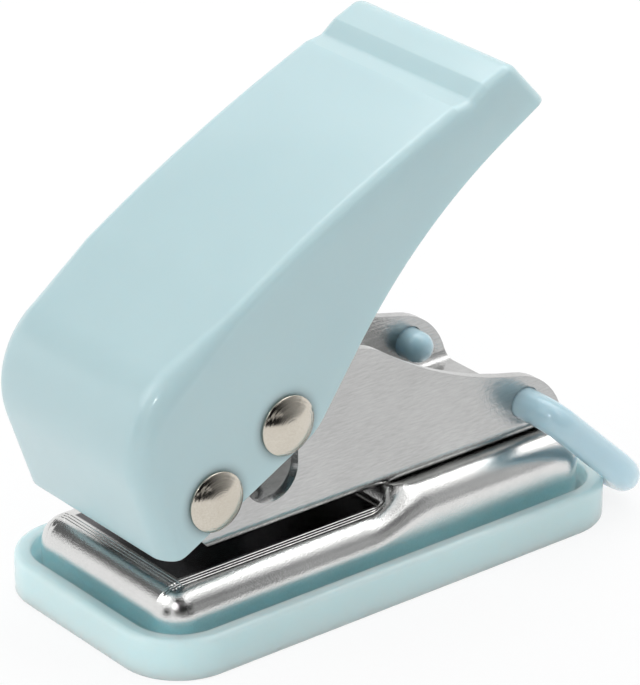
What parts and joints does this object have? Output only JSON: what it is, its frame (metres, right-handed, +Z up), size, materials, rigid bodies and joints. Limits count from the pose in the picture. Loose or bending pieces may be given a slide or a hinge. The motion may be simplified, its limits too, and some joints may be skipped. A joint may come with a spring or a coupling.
{
  "type": "mini hole punch",
  "caption": "Mini hole punch: a hollow aqua lever drives a sprung round punch through a steel channel into a polished base, in a chip tray, with a hinged bail that locks the lever down.",
  "frame": {"origin": "centre of the tray's flat underside", "axes": "+X from the paper mouth to the rear where the bail hangs, +Y across, +Z up"},
  "size_m": [0.0666, 0.033, 0.0546],
  "materials": {
    "aqua_plastic": "satin moulded plastic",
    "bail_plastic": "smooth moulded plastic",
    "polished_steel": "bright nickel plate",
    "satin_steel": "satin zinc plate",
    "nickel": "bright nickel",
    "tool_steel": "ground steel"
  },
  "bodies": {
    "tray": {"base_tray": "aqua_plastic"},
    "base": {"base_pan": "polished_steel", "frame": "satin_steel", "frame_rivets": "satin_steel", "pivot_sleeve": "satin_steel", "punch_spring": "tool_steel"},
    "lever": {"handle": "aqua_plastic", "pivot_rivet": "nickel", "pivot_cap": "nickel", "drive_rivet": "nickel", "drive_cap": "nickel"},
    "punch": {"punch": "tool_steel", "spring_washer": "satin_steel"},
    "bail": {"lock_bail": "bail_plastic"}
  },
  "joints": [
    {"name": "tray_release", "type": "slide", "parent": "tray", "child": "base", "axis": [0, 0, 1], "range_m": [0, 0.008]},
    {"name": "lever_hinge", "type": "hinge", "parent": "base", "child": "lever", "pos_m": [-0.0223, 0, 0.01775], "axis": [0, 1, 0], "range_deg": [0, 35], "stiffness_Nm_per_rad": 0.15, "springref_deg": -20.05},
    {"name": "punch_slide", "type": "slide", "parent": "base", "child": "punch", "axis": [0, 0, -1], "range_m": [0, 0.0063], "deforming": ["punch_spring"]},
    {"name": "bail_hinge", "type": "hinge", "parent": "base", "child": "bail", "pos_m": [0.0204, 0, 0.01465], "axis": [0, -1, 0], "range_deg": [0, 125]}
  ],
  "couplings": [
    {"joint": "punch_slide", "follows": "lever_hinge", "m_per_rad": 0.010128}
  ]
}
